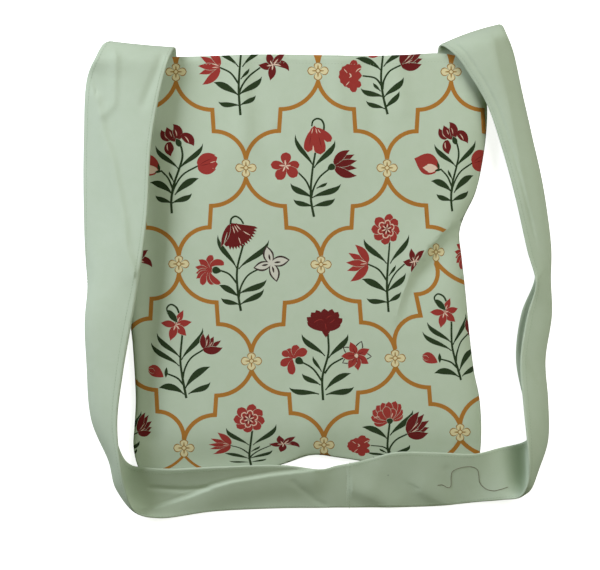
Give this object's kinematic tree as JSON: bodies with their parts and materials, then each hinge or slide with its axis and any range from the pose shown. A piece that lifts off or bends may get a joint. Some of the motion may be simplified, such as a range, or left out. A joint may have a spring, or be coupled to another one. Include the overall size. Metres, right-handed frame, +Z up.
{
  "type": "cotton messenger bag",
  "caption": "Flat cotton shoulder bag with an open mouth, a printed front and a long wide plain strap that folds over the mouth and lies round the bag.",
  "frame": {"origin": "on the table, under the middle of the box round the lying bag and its strap", "axes": "+X across the bag to the right of its printed front, +Y from the base to the mouth, +Z up from the table, out of the printed front"},
  "size_m": [0.4696, 0.493, 0.0385],
  "materials": {
    "printed_cotton": "plain-woven cotton, printed",
    "plain_cotton": "plain-woven cotton, dyed"
  },
  "bodies": {
    "root": {"front_panel": "printed_cotton", "back_panel": "printed_cotton", "strap_left": "plain_cotton", "strap_right": "plain_cotton"}
  },
  "joints": []
}
